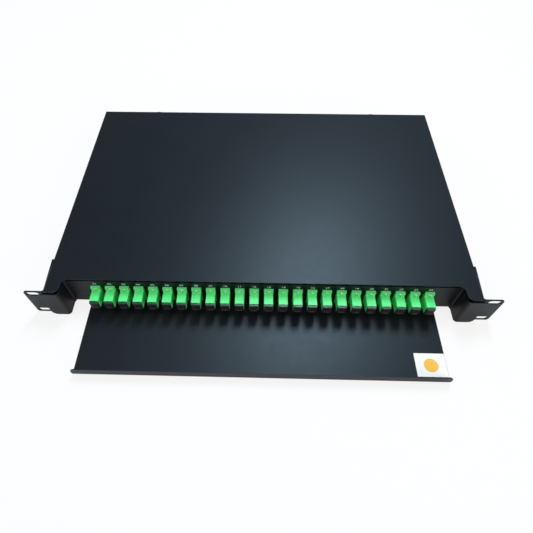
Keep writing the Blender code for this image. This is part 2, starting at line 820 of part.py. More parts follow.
def make_gland(name, side, material, root):
    """Cable gland: domed nut and hex flange outside, thread and hex nut inside."""
    flange_front = GAP
    flange_rear = flange_front + GLAND_FLANGE_DEPTH
    dome_rear = flange_rear + GLAND_DOME_DEPTH
    inside_end = -SHEET - GLAND_THREAD_INSIDE
    flange_middle = (flange_front + flange_rear) / 2
    profile = [
        (GLAND_BORE, inside_end),
        (GLAND_THREAD, inside_end),
        (GLAND_THREAD, flange_middle),
        (GLAND_DOME_CURVE[0][0], flange_middle),
        *[(radius, flange_rear + depth) for radius, depth in GLAND_DOME_CURVE],
        (GLAND_BORE, dome_rear),
    ]
    gland = add_object(name, mesh_from(turned(profile), name))
    hexes = [
        (GLAND_FLANGE, flange_front, flange_rear),
        (GLAND_NUT, -SHEET - GAP - GLAND_NUT_DEPTH, -SHEET - GAP),
    ]
    rings = []
    for radius, front, rear in hexes:
        rings.append(prism(hexagon(radius), front, rear, "Y"))
    place = (side * GLAND_SPACING / 2, REAR_Y, GLAND_HEIGHT)
    gland.location = place
    nuts = cutter(name + "_hexes", join_shapes(rings))
    nuts.location = place
    combine(gland, nuts, "UNION")
    bore = arc((0, 0), GLAND_BORE, 0, 360, GLAND_SIDES)[:-1]
    drill = cutter(
        name + "_bore", prism(bore, inside_end - CUT_OVERRUN, dome_rear + CUT_OVERRUN, "Y")
    )
    drill.location = place
    combine(gland, drill)
    return finish(gland, material, root)


def main():
    clear_scene()
    root = bpy.data.objects.new("box_frame", None)
    root.location = (0.0, -FOOTPRINT_MIDDLE_Y, 0.0)
    bpy.context.scene.collection.objects.link(root)

    coat = make_material("black_powder_coat", (0.022, 0.025, 0.030), 0.42, 0.1)
    zinc = make_material("zinc_steel", (0.55, 0.56, 0.57), 0.38, 1.0)
    green = make_material("green_adapter_plastic", (0.05, 0.72, 0.16), 0.35)
    black = make_material("black_cap_plastic", (0.015, 0.015, 0.017), 0.45)
    white = make_material("white_tray_plastic", (0.78, 0.79, 0.78), 0.45)
    clear = make_material("smoked_lid_plastic", (0.42, 0.45, 0.48), 0.25)

    make_chassis(coat, root)
    make_front_panel(coat, root)
    make_top_cover(coat, root)
    make_rack_ear("left_rack_ear", -1, coat, root)
    make_rack_ear("right_rack_ear", 1, coat, root)
    make_pull_out_tray(coat, root)
    make_rail("left_tray_rail", -1, zinc, root)
    make_rail("right_tray_rail", 1, zinc, root)
    make_ports(green, black, root)
    make_splice_tray(white, root)
    make_splice_lid(clear, root)
    make_gland("left_cable_gland", -1, black, root)
    make_gland("right_cable_gland", 1, black, root)


main()
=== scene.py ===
"""Looks of a rack-mount fibre distribution box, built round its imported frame."""

import math

import bmesh
import bpy
from mathutils import Matrix, Vector


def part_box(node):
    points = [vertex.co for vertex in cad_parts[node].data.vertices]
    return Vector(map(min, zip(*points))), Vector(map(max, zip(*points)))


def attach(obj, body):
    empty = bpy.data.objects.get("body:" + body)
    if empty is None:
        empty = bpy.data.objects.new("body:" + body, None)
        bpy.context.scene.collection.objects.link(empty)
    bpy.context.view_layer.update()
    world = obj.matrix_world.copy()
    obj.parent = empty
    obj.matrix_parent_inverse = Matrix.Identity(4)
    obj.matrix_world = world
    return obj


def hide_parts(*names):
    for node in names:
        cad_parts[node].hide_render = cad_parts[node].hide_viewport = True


bl_info = {
    "name": "Fibre distribution box",
    "version": (1, 0, 0),
    "blender": (4, 5, 0),
    "location": "View3D > Sidebar > Fibre box",
    "description": "Dresses the frame of a rack-mount fibre distribution box",
    "category": "Object",
}

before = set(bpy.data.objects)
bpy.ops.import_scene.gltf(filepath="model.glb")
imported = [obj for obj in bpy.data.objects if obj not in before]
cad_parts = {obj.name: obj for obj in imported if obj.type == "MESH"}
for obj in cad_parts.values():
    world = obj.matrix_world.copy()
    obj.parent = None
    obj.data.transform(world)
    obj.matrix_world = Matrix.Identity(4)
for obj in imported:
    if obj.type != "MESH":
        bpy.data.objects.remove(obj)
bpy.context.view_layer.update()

PORTS = 24
MERGE = 1e-6
FLAT_ANGLE = math.radians(1.0)
CREASE_ANGLE = math.radians(32.0)
SMOOTH_ANGLE = math.radians(40.0)
ROUND_SIDES = 32
SCREW_SIDES = 12
PRINT_THICKNESS = 0.00002
FACE_LEVEL = 0.0001

# Steps of a screw head as shares of its height and of the last rim, and its cross recess
HEAD_STEPS = ((0.45, 1.0), (0.38, 0.86), (0.17, 0.72), (0.0, 0.80))
CROSS_ARM = 0.47
CROSS_HALF_WIDTH = 0.12
CROSS_DEPTH = 0.55
CROSS_FLOOR = 0.62

# Most of a noise value lies in this span
NOISE_LOW, NOISE_HIGH = 0.3, 0.7
# Cosines between the true and the rounded normal, on flats and on corners
FLAT_COSINE, CORNER_COSINE = 0.995, 0.86

# Camera of the photograph, in metres, degrees and millimetres
CAMERA_PLACE = (-0.00101, -0.33807, 0.41063)
CAMERA_TURN = (34.552, 0.317, 1.451)
CAMERA_LENS = 28.995
CAMERA_SENSOR = 36.0
CAMERA_SHIFT = (0.0257, -0.0006)
CAMERA_NEAR = 0.01

# Softboxes: name, place, width and height, power in watts, colour
SOFTBOXES = (
    ("rear_softbox", (0.275, 0.965, 1.950), (0.46, 0.90), 33.0, (0.72, 0.89, 1.0)),
    ("top_softbox", (-0.3, -0.55, 2.3), (1.6, 1.2), 20.0, (1.0, 0.91, 0.82)),
    ("left_softbox", (-1.9, 0.0, 1.6), (1.2, 1.6), 6.0, (0.95, 1.0, 1.0)),
    ("warm_softbox", (1.3, -1.5, 0.8), (1.0, 0.8), 14.0, (1.0, 0.72, 0.52)),
)
WORLD_HORIZON = (1.0, 1.0, 1.0)
WORLD_TOP = (0.19, 0.22, 0.27)
# Sine of the height at which the white ends, and at which the dim ceiling begins
WORLD_WHITE_END, WORLD_DIM_START = 0.04, 0.20
# Share of the floor's own white, as the camera sees it and as reflections do
FLOOR_SEEN = 0.80
FLOOR_MIRRORED = 0.15
FLOOR_REACH = 12.0


class FibreBoxSizes(bpy.types.PropertyGroup):
    """Sizes of the details that the frame leaves out."""

    sheet_edge: bpy.props.FloatProperty(
        name="Sheet edge", description="Rounding of the sheet metal's edges",
        default=0.00022, unit="LENGTH",
    )
    moulded_edge: bpy.props.FloatProperty(
        name="Moulded edge", description="Rounding of the moulded parts' edges",
        default=0.00018, unit="LENGTH",
    )
    number_height: bpy.props.FloatProperty(
        name="Number size", description="Type size of the port numbers",
        default=0.0042, unit="LENGTH",
    )
    number_rise: bpy.props.FloatProperty(
        name="Number rise", description="From the flange's top to the middle of a number",
        default=0.0027, unit="LENGTH",
    )
    flange_screw_radius: bpy.props.FloatProperty(
        name="Flange screw", description="Radius of the screw heads on the adapters",
        default=0.0017, unit="LENGTH",
    )
    flange_screw_height: bpy.props.FloatProperty(
        name="Flange screw height", description="Height of those screw heads",
        default=0.0011, unit="LENGTH",
    )
    flange_screw_inset: bpy.props.FloatProperty(
        name="Flange screw inset", description="From the flange's end to the screw's middle",
        default=0.0023, unit="LENGTH",
    )
    case_screw_radius: bpy.props.FloatProperty(
        name="Case screw", description="Radius of the screw heads on ears and cover",
        default=0.0031, unit="LENGTH",
    )
    case_screw_height: bpy.props.FloatProperty(
        name="Case screw height", description="Height of those screw heads",
        default=0.0009, unit="LENGTH",
    )
    sticker_width: bpy.props.FloatProperty(
        name="Sticker width", description="Width of the sticker on the tray",
        default=0.0304, unit="LENGTH",
    )
    sticker_depth: bpy.props.FloatProperty(
        name="Sticker depth", description="Depth of the sticker on the tray",
        default=0.0252, unit="LENGTH",
    )
    sticker_behind_lip: bpy.props.FloatProperty(
        name="Sticker place", description="From the lip's front to the sticker's front edge",
        default=0.0044, unit="LENGTH",
    )
    sticker_disc: bpy.props.FloatProperty(
        name="Disc radius", description="Radius of the plain disc on the sticker",
        default=0.0072, unit="LENGTH",
    )


class FibreBoxColours(bpy.types.PropertyGroup):
    """Colours of the finishes, as linear values."""

    # The slight blue of this black is painted light, standing in for the cool lamp above and
    # behind.
    coat: bpy.props.FloatVectorProperty(
        name="Powder coat", description="Black coat of the sheet metal",
        subtype="COLOR", default=(0.0060, 0.0074, 0.0100),
    )
    adapter: bpy.props.FloatVectorProperty(
        name="Adapter green", description="Moulded adapters",
        subtype="COLOR", default=(0.090, 0.87, 0.23),
    )
    cap: bpy.props.FloatVectorProperty(
        name="Cap black", description="Dust caps",
        subtype="COLOR", default=(0.014, 0.014, 0.018),
    )
    zinc: bpy.props.FloatVectorProperty(
        name="Zinc", description="Plated rails",
        subtype="COLOR", default=(0.58, 0.59, 0.60),
    )
    screw: bpy.props.FloatVectorProperty(
        name="Screw", description="Plated screw heads",
        subtype="COLOR", default=(0.74, 0.70, 0.66),
    )
    ink: bpy.props.FloatVectorProperty(
        name="Ink", description="Printed port numbers",
        subtype="COLOR", default=(0.82, 0.84, 0.82),
    )
    paper: bpy.props.FloatVectorProperty(
        name="Paper", description="Sticker",
        subtype="COLOR", default=(0.94, 0.92, 0.89),
    )
    amber: bpy.props.FloatVectorProperty(
        name="Amber", description="Plain disc on the sticker",
        subtype="COLOR", default=(0.95, 0.52, 0.07),
    )
    splice: bpy.props.FloatVectorProperty(
        name="Splice tray", description="White moulded splice tray",
        subtype="COLOR", default=(0.78, 0.79, 0.78),
    )
    lid: bpy.props.FloatVectorProperty(
        name="Smoked lid", description="Tinted lid of the splice tray",
        subtype="COLOR", default=(0.42, 0.45, 0.48),
    )
    dark_plate: bpy.props.FloatVectorProperty(
        name="Black zinc", description="Screw heads on the ears and the cover",
        subtype="COLOR", default=(0.06, 0.06, 0.065),
    )
    nylon: bpy.props.FloatVectorProperty(
        name="Nylon", description="Cable glands",
        subtype="COLOR", default=(0.018, 0.018, 0.020),
    )
    rubber: bpy.props.FloatVectorProperty(
        name="Rubber", description="Seals in the cable glands",
        subtype="COLOR", default=(0.010, 0.010, 0.011),
    )
    ceramic: bpy.props.FloatVectorProperty(
        name="Ceramic", description="Alignment sleeves in the adapters",
        subtype="COLOR", default=(0.88, 0.87, 0.82),
    )
    floor: bpy.props.FloatVectorProperty(
        name="Floor", description="Pale studio floor",
        subtype="COLOR", default=(0.86, 0.86, 0.86),
    )


def sizes():
    """The sizes group of the scene."""
    return bpy.context.scene.fibre_box_sizes


def colours():
    """The colours group of the scene."""
    return bpy.context.scene.fibre_box_colours


class Finish:
    """Node tree of one material round its Principled shader."""

    def __init__(self, name, colour, roughness, metallic=0.0):
        self.material = bpy.data.materials.new(name)
        self.material.use_nodes = True
        self.tree = self.material.node_tree
        self.shader = self.tree.nodes["Principled BSDF"]
        self.set("Base Color", (*colour, 1.0))
        self.set("Roughness", roughness)
        self.set("Metallic", metallic)
        self.place = self.node("ShaderNodeTexCoord").outputs["Object"]

    def set(self, socket, value):
        """Give a socket of the shader a constant."""
        self.shader.inputs[socket].default_value = value

    def node(self, kind, **inputs):
        """Add a node and fill its sockets with values or links."""
        made = self.tree.nodes.new(kind)
        for name, value in inputs.items():
            socket = made.inputs[name.replace("_", " ")]
            if isinstance(value, bpy.types.NodeSocket):
                self.tree.links.new(value, socket)
            else:
                socket.default_value = value
        return made

    def link(self, output, socket):
        """Feed a socket of the shader."""
        self.tree.links.new(output, self.shader.inputs[socket])

    def noise(self, scale, detail=2.0, roughness=0.5):
        """A noise value on object coordinates."""
        made = self.node(
            "ShaderNodeTexNoise", Vector=self.place, Scale=scale, Detail=detail, Roughness=roughness
        )
        return made.outputs["Fac"]

    def span(self, value, low, high, to_low, to_high):
        """Map one span of values to another."""
        made = self.node(
            "ShaderNodeMapRange",
            Value=value, From_Min=low, From_Max=high, To_Min=to_low, To_Max=to_high,
        )
        return made.outputs["Result"]

    def clouds(self, scale, detail, low=0.0, high=1.0):
        """Soft patches between two values."""
        return self.span(self.noise(scale, detail), NOISE_LOW, NOISE_HIGH, low, high)

    def mix(self, factor, first, second):
        """Blend two colours."""
        made = self.tree.nodes.new("ShaderNodeMix")
        made.data_type = "RGBA"
        self.tree.links.new(factor, made.inputs["Factor"])
        ends = [socket for socket in made.inputs if socket.type == "RGBA"]
        for value, socket in zip((first, second), ends):
            if isinstance(value, bpy.types.NodeSocket):
                self.tree.links.new(value, socket)
            else:
                socket.default_value = (*value, 1.0)
        return next(socket for socket in made.outputs if socket.type == "RGBA")

    def bump(self, height, strength, distance):
        """Raise the surface by a value."""
        made = self.node("ShaderNodeBump", Height=height, Strength=strength, Distance=distance)
        self.link(made.outputs["Normal"], "Normal")

    def edges(self, radius):
        """How near an edge the surface is, from 0 on flats to 1 on corners."""
        tree = self.tree
        rounded = self.node("ShaderNodeBevel", Radius=radius)
        true = tree.nodes.new("ShaderNodeNewGeometry")
        dot = tree.nodes.new("ShaderNodeVectorMath")
        dot.operation = "DOT_PRODUCT"
        tree.links.new(rounded.outputs["Normal"], dot.inputs[0])
        tree.links.new(true.outputs["Normal"], dot.inputs[1])
        return self.span(dot.outputs["Value"], FLAT_COSINE, CORNER_COSINE, 0.0, 1.0)


def tinted(colour, share):
    """A colour made lighter or darker by a share."""
    return tuple(value * share for value in colour)


def powder_coat(name):
    """Satin black coat with a fine grain, soft patches, dust and rubbed edges."""
    colour = tuple(colours().coat)
    finish = Finish(name, colour, 0.41)
    finish.set("Specular IOR Level", 0.26)
    # The cool tint of the reflections is painted light, standing in for the cool lamp above and
    # behind.
    finish.set("Specular Tint", (0.76, 0.91, 1.0, 1.0))
    patches = finish.span(finish.noise(22.0, 4.0), 0.35, 0.65, 0.0, 1.0)
    patched = finish.mix(patches, tinted(colour, 0.92), tinted(colour, 1.09))
    dust = finish.span(finish.noise(420.0, 1.0), 0.76, 0.80, 0.0, 0.35)
    dusted = finish.mix(dust, patched, tinted(colour, 9.0))
    rubbing = finish.span(finish.edges(0.0005), 0.0, 1.0, 0.0, 0.55)
    finish.link(finish.mix(rubbing, dusted, tinted(colour, 5.0)), "Base Color")
    finish.link(finish.clouds(160.0, 3.0, 0.37, 0.40), "Roughness")
    finish.bump(finish.noise(1500.0, 2.0), 0.22, 0.00005)
    return finish.material


def moulded(name, colour, roughness, grain=900.0, gloss=0.5):
    """Injection-moulded plastic with faint flow marks, a painted highlight along its edges and a
    fine grain.
    """
    finish = Finish(name, colour, roughness)
    finish.set("Specular IOR Level", gloss)
    body = finish.mix(finish.clouds(160.0, 3.0), tinted(colour, 0.93), tinted(colour, 1.05))
    # Painted highlight: the edges are mixed towards a paler colour, standing in for light caught by
    # the edges.
    painted_edge_highlight = tuple(min(1.0, 1.5 * value + 0.06) for value in colour)
    rim = finish.span(finish.edges(0.0006), 0.0, 1.0, 0.0, 0.8)
    finish.link(finish.mix(rim, body, painted_edge_highlight), "Base Color")
    finish.link(finish.clouds(300.0, 2.0, roughness - 0.05, roughness + 0.06), "Roughness")
    finish.bump(finish.noise(grain, 2.0), 0.10, 0.00003)
    return finish.material


def plated(name, colour, roughness):
    """Plated steel with drawn marks."""
    finish = Finish(name, colour, roughness, 1.0)
    stretch = finish.node("ShaderNodeMapping", Vector=finish.place)
    stretch.inputs["Scale"].default_value = (1.0, 0.06, 1.0)
    marks = finish.node("ShaderNodeTexNoise", Vector=stretch.outputs["Vector"], Scale=1600.0)
    marks = marks.outputs["Fac"]
    drawn = finish.span(marks, NOISE_LOW, NOISE_HIGH, roughness - 0.07, roughness + 0.10)
    finish.link(drawn, "Roughness")
    spangle = finish.mix(finish.clouds(90.0, 3.0), tinted(colour, 0.88), tinted(colour, 1.06))
    finish.link(spangle, "Base Color")
    finish.bump(marks, 0.06, 0.00002)
    return finish.material


def printed(name, colour, roughness):
    """Ink or paper with a faint fibre."""
    finish = Finish(name, colour, roughness)
    finish.set("Specular IOR Level", 0.2)
    fibre = finish.mix(finish.clouds(2200.0, 3.0), tinted(colour, 0.96), tinted(colour, 1.02))
    finish.link(fibre, "Base Color")
    finish.bump(finish.noise(2600.0, 2.0), 0.08, 0.00001)
    return finish.material


def smoked(name):
    """Tinted, see-through lid plastic."""
    colour = tuple(colours().lid)
    finish = Finish(name, colour, 0.14)
    finish.set("Transmission Weight", 0.72)
    finish.set("IOR", 1.49)
    finish.link(finish.clouds(120.0, 3.0, 0.10, 0.20), "Roughness")
    smoke = finish.mix(finish.clouds(35.0, 2.0), tinted(colour, 0.95), tinted(colour, 1.05))
    finish.link(smoke, "Base Color")
    return finish.material


def rounded_copy(node, width, segments=2):
    """A node's shape with its flat faces joined and its edges rounded."""
    shape = bmesh.new()
    shape.from_mesh(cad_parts[node].data)
    bmesh.ops.remove_doubles(shape, verts=shape.verts[:], dist=MERGE)
    bmesh.ops.dissolve_limit(
        shape, angle_limit=FLAT_ANGLE, use_dissolve_boundaries=False,
        verts=shape.verts[:], edges=shape.edges[:], delimit=set(),
    )
    sharp = [e for e in shape.edges if e.is_manifold and e.calc_face_angle() > CREASE_ANGLE]
    bmesh.ops.bevel(
        shape, geom=sharp, offset=width, offset_type="OFFSET", segments=segments,
        profile=0.5, affect="EDGES", clamp_overlap=True, material=-1,
    )
    return shape


def add_piece(name, shape, material, body, replaced=()):
    """Make a bmesh into a finished piece that rides on a body."""
    bmesh.ops.recalc_face_normals(shape, faces=shape.faces[:])
    mesh = bpy.data.meshes.new(name)
    shape.to_mesh(mesh)
    shape.free()
    if "custom_normal" in mesh.attributes:
        mesh.attributes.remove(mesh.attributes["custom_normal"])
    mesh.materials.clear()
    mesh.materials.append(material)
    mesh.shade_smooth()
    mesh.set_sharp_from_angle(angle=SMOOTH_ANGLE)
    piece = bpy.data.objects.new(name, mesh)
    bpy.context.scene.collection.objects.link(piece)
    weighted = piece.modifiers.new("weighted_normals", "WEIGHTED_NORMAL")
    weighted.keep_sharp = True
    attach(piece, body)
    if replaced:
        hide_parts(*replaced)
    return piece


def gather(parts):
    """Put placed copies of small shapes into one bmesh."""
    whole = bmesh.new()
    for mesh, place in parts:
        before = len(whole.verts)
        whole.from_mesh(mesh)
        whole.verts.ensure_lookup_table()
        bmesh.ops.transform(whole, matrix=place, verts=whole.verts[before:])
    for mesh in {part[0] for part in parts}:
        bpy.data.meshes.remove(mesh)
    return whole


def mesh_of(shape, name):
    """A mesh from a bmesh, which is freed."""
    mesh = bpy.data.meshes.new(name)
    shape.to_mesh(mesh)
    shape.free()
    return mesh


def raised(shape, face, height, share):
    """Extrude a face along Z, scale its rim, and return the new face."""
    grown = bmesh.ops.extrude_face_region(shape, geom=[face])["geom"]
    bmesh.ops.delete(shape, geom=[face], context="FACES_ONLY")
    rim = [item for item in grown if isinstance(item, bmesh.types.BMVert)]
    bmesh.ops.scale(shape, vec=(share, share, 1.0), verts=rim)
    bmesh.ops.translate(shape, vec=(0.0, 0.0, height), verts=rim)
    return next(item for item in grown if isinstance(item, bmesh.types.BMFace))


def screw_head(radius, height):
    """Domed head with a cross recess, its seat at Z 0."""
    shape = bmesh.new()
    bmesh.ops.create_circle(shape, cap_ends=True, segments=SCREW_SIDES, radius=radius)
    shape.faces.ensure_lookup_table()
    top = shape.faces[0]
    for rise, share in HEAD_STEPS:
        top = raised(shape, top, rise * height, share)
    long_arm, half_width = CROSS_ARM * radius, CROSS_HALF_WIDTH * radius
    corners = ((long_arm, -half_width), (long_arm, half_width), (half_width, half_width))
    rim = sorted(top.verts, key=lambda v: math.atan2(v.co.y, v.co.x) % (2 * math.pi))
    for index, vertex in enumerate(rim):
        arm, corner = divmod(index + 1, 3)
        turn = Matrix.Rotation(math.radians(90.0 * arm), 3, "Z")
        vertex.co.xy = (turn @ Vector((*corners[corner], 0.0))).xy
    raised(shape, top, -CROSS_DEPTH * height, CROSS_FLOOR)
    return mesh_of(shape, "screw_head")


def facing(axis, point):
    """Placement that turns local Z along an axis."""
    turn = Vector((0.0, 0.0, 1.0)).rotation_difference(Vector(axis)).to_matrix().to_4x4()
    return Matrix.Translation(point) @ turn


def tube(outer, inner, length):
    """Open ring along Z, centred on the origin."""
    shape = bmesh.new()
    profile = [(inner, -length / 2), (outer, -length / 2), (outer, length / 2), (inner, length / 2)]
    ring = [shape.verts.new((radius, 0.0, z)) for radius, z in profile]
    edges = [shape.edges.new((ring[i - 1], ring[i])) for i in range(len(ring))]
    bmesh.ops.spin(
        shape, geom=ring + edges, cent=(0, 0, 0), axis=(0, 0, 1), angle=2 * math.pi,
        steps=ROUND_SIDES // 2, use_merge=True,
    )
    bmesh.ops.remove_doubles(shape, verts=shape.verts[:], dist=MERGE)
    return mesh_of(shape, "tube")


def slab(width, depth, height, corner):
    """Thin plate with rounded corners, its underside at Z 0."""
    shape = bmesh.new()
    bmesh.ops.create_cube(shape, size=1.0)
    bmesh.ops.scale(shape, vec=(width, depth, height), verts=shape.verts[:])
    bmesh.ops.translate(shape, vec=(0.0, 0.0, height / 2), verts=shape.verts[:])
    upright = [e for e in shape.edges if abs(e.verts[0].co.z - e.verts[1].co.z) > height / 2]
    bmesh.ops.bevel(
        shape, geom=upright, offset=corner, offset_type="OFFSET", segments=4,
        profile=0.5, affect="EDGES", material=-1,
    )
    return mesh_of(shape, "slab")


def port_names():
    """Two-digit names of the ports."""
    return ["{:02d}".format(index + 1) for index in range(PORTS)]


def port_x(number):
    """Middle of an adapter, across."""
    low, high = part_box("adapter_" + number)
    return (low.x + high.x) / 2


class FIBREBOX_OT_stage(bpy.types.Operator):
    """Pale floor, soft light and the camera"""

    bl_idname = "fibre_box.stage"
    bl_label = "Stage"

    def execute(self, context):
        floor = self.make_floor()
        self.make_world(context.scene)
        for box in SOFTBOXES:
            self.add_softbox(*box)
        self.make_camera(context.scene)
        context.scene.view_settings.view_transform = "Standard"
        return {"FINISHED"}

    def make_floor(self):
        """Wide floor that renders white but keeps a soft shadow."""
        shape = bmesh.new()
        bmesh.ops.create_grid(shape, x_segments=1, y_segments=1, size=FLOOR_REACH)
        floor = bpy.data.objects.new("floor", mesh_of(shape, "floor"))
        bpy.context.scene.collection.objects.link(floor)
        material = bpy.data.materials.new("pale_floor")
        material.use_nodes = True
        tree = material.node_tree
        tree.nodes.clear()
        path = tree.nodes.new("ShaderNodeLightPath")
        seen = self.joined(tree, "MULTIPLY", path.outputs["Is Camera Ray"], FLOOR_SEEN)
        either = self.joined(
            tree, "MAXIMUM", path.outputs["Is Glossy Ray"], path.outputs["Is Transmission Ray"]
        )
        mirrored = self.joined(tree, "MULTIPLY", either, FLOOR_MIRRORED)
        share = self.joined(tree, "MAXIMUM", seen, mirrored)
        paint = tree.nodes.new("ShaderNodeBsdfDiffuse")
        paint.inputs["Color"].default_value = (*colours().floor, 1.0)
        glow = tree.nodes.new("ShaderNodeEmission")
        glow.inputs["Strength"].default_value = 1.0
        mixed = tree.nodes.new("ShaderNodeMixShader")
        tree.links.new(share, mixed.inputs["Fac"])
        tree.links.new(paint.outputs[0], mixed.inputs[1])
        tree.links.new(glow.outputs[0], mixed.inputs[2])
        output = tree.nodes.new("ShaderNodeOutputMaterial")
        tree.links.new(mixed.outputs[0], output.inputs["Surface"])
        floor.data.materials.append(material)
        return floor

    def joined(self, tree, operation, first, second):
        """Result of a Math node on two values."""
        made = tree.nodes.new("ShaderNodeMath")
        made.operation = operation
        for value, socket in zip((first, second), made.inputs):
            if isinstance(value, bpy.types.NodeSocket):
                tree.links.new(value, socket)
            else:
                socket.default_value = value
        return made.outputs[0]

    def make_world(self, scene):
        """White to the camera and towards the horizon, and dimmer overhead, as in a studio."""
        world = bpy.data.worlds.new("studio")
        scene.world = world
        world.use_nodes = True
        tree = world.node_tree
        sky = tree.nodes["Background"]
        place = tree.nodes.new("ShaderNodeTexCoord")
        split = tree.nodes.new("ShaderNodeSeparateXYZ")
        tree.links.new(place.outputs["Generated"], split.inputs[0])
        ramp = tree.nodes.new("ShaderNodeValToRGB")
        tree.links.new(split.outputs["Z"], ramp.inputs["Fac"])
        low, high = ramp.color_ramp.elements
        low.position, low.color = WORLD_WHITE_END, (*WORLD_HORIZON, 1.0)
        high.position, high.color = WORLD_DIM_START, (*WORLD_TOP, 1.0)
        path = tree.nodes.new("ShaderNodeLightPath")
        shown = tree.nodes.new("ShaderNodeMix")
        shown.data_type = "RGBA"
        tree.links.new(path.outputs["Is Camera Ray"], shown.inputs["Factor"])
        dim, white = [socket for socket in shown.inputs if socket.type == "RGBA"]
        tree.links.new(ramp.outputs["Color"], dim)
        white.default_value = (*WORLD_HORIZON, 1.0)
        output = next(socket for socket in shown.outputs if socket.type == "RGBA")
        tree.links.new(output, sky.inputs["Color"])
        sky.inputs["Strength"].default_value = 1.0

    def add_softbox(self, name, place, size, power, colour):
        """Rectangular area light aimed at the object."""
        lamp = bpy.data.lights.new(name, "AREA")
        lamp.shape = "RECTANGLE"
        lamp.size, lamp.size_y = size
        lamp.energy = power
        lamp.color = colour
        item = bpy.data.objects.new(name, lamp)
        item.location = place
        item.rotation_euler = (-Vector(place)).to_track_quat("-Z", "Y").to_euler()
        bpy.context.scene.collection.objects.link(item)

    def make_camera(self, scene):
        """Camera of the photograph."""
        view = bpy.data.cameras.new("camera")
        view.lens = CAMERA_LENS
        view.sensor_width = CAMERA_SENSOR
        view.shift_x, view.shift_y = CAMERA_SHIFT
        view.clip_start = CAMERA_NEAR
        view.dof.use_dof = False
        camera = bpy.data.objects.new("camera", view)
        camera.location = CAMERA_PLACE
        camera.rotation_euler = [math.radians(angle) for angle in CAMERA_TURN]
        scene.collection.objects.link(camera)
        scene.camera = camera


class FIBREBOX_OT_sheet_metal(bpy.types.Operator):
    """Cover, front plate, ears, tray and chassis in powder coat"""

    bl_idname = "fibre_box.sheet_metal"
    bl_label = "Sheet metal"

    arm_behind_face = 0.0035
    arm_rim = 0.001
    arm_rise = 0.0031

    def execute(self, context):
        coat = powder_coat("black_powder_coat")
        for node, name, body in (
            ("top_cover", "cover_shell", "cover"),
            ("front_panel", "front_plate", "root"),
            ("chassis", "chassis_shell", "root"),
            ("left_rack_ear", "ear_left", "root"),
            ("right_rack_ear", "ear_right", "root"),
            ("pull_out_tray", "tray_sheet", "tray"),
        ):
            shape = rounded_copy(node, sizes().sheet_edge)
            if node.endswith("_rack_ear"):
                self.raise_arm(shape, node)
            add_piece(name, shape, coat, body, (node,))
        return {"FINISHED"}

    def raise_arm(self, shape, node):
        """Bring the top of an ear's arm nearly level with the cover beside it."""
        low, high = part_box(node)
        arm_y, rim_z = low.y + self.arm_behind_face, high.z - self.arm_rim
        top = [v for v in shape.verts if v.co.y > arm_y and v.co.z > rim_z]
        bmesh.ops.translate(shape, vec=(0.0, 0.0, self.arm_rise), verts=top)


class FIBREBOX_OT_rails(bpy.types.Operator):
    """Plated rails of the tray"""

    bl_idname = "fibre_box.rails"
    bl_label = "Rails"

    def execute(self, context):
        zinc = plated("zinc_plate", tuple(colours().zinc), 0.36)
        for side in ("left", "right"):
            shape = rounded_copy(side + "_tray_rail", sizes().sheet_edge)
            add_piece("rail_" + side, shape, zinc, "root", (side + "_tray_rail",))
        return {"FINISHED"}


class FIBREBOX_OT_adapters(bpy.types.Operator):
    """Green adapters with their ceramic sleeves"""

    bl_idname = "fibre_box.adapters"
    bl_label = "Adapters"

    sleeve_outer = 0.0016
    sleeve_inner = 0.00122
    sleeve_proud = 0.00004
    socket_depth = 0.0033

    def execute(self, context):
        green = moulded("green_adapter_plastic", tuple(colours().adapter), 0.42, gloss=0.30)
        ceramic = moulded("ceramic", tuple(colours().ceramic), 0.22, 2400.0)
        sleeves = []
        for number in port_names():
            node = "adapter_" + number
            shape = rounded_copy(node, sizes().moulded_edge)
            add_piece("port_body_" + number, shape, green, "root", (node,))
            low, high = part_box(node)
            middle = (low + high) / 2
            length = high.y - low.y - 2 * (self.socket_depth - self.sleeve_proud)
            ring = tube(self.sleeve_outer, self.sleeve_inner, length)
            sleeves.append((ring, facing((0, -1, 0), middle)))
        add_piece("alignment_sleeves", gather(sleeves), ceramic, "root")
        return {"FINISHED"}


class FIBREBOX_OT_dust_caps(bpy.types.Operator):
    """Black dust caps, each with a shallow dish in its head"""

    bl_idname = "fibre_box.dust_caps"
    bl_label = "Dust caps"

    dish_inset = 0.0011
    dish_depth = 0.0004

    def execute(self, context):
        black = moulded("black_cap_plastic", tuple(colours().cap), 0.40, 1300.0, 0.6)
        for number in port_names():
            node = "dust_cap_" + number
            shape = rounded_copy(node, sizes().moulded_edge)
            self.dish(shape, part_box(node)[0].y)
            add_piece("cap_" + number, shape, black, "cap_" + number, (node,))
        return {"FINISHED"}

    def dish(self, shape, front_y):
        """Sink the middle of the head's front face."""
        front = [
            face for face in shape.faces
            if face.normal.y < -0.99 and abs(face.calc_center_median().y - front_y) < FACE_LEVEL
        ]
        face = max(front, key=lambda f: f.calc_area())
        bmesh.ops.inset_region(
            shape, faces=[face], thickness=self.dish_inset, use_even_offset=True
        )
        bmesh.ops.inset_region(
            shape, faces=[face], thickness=self.dish_depth, depth=-self.dish_depth
        )


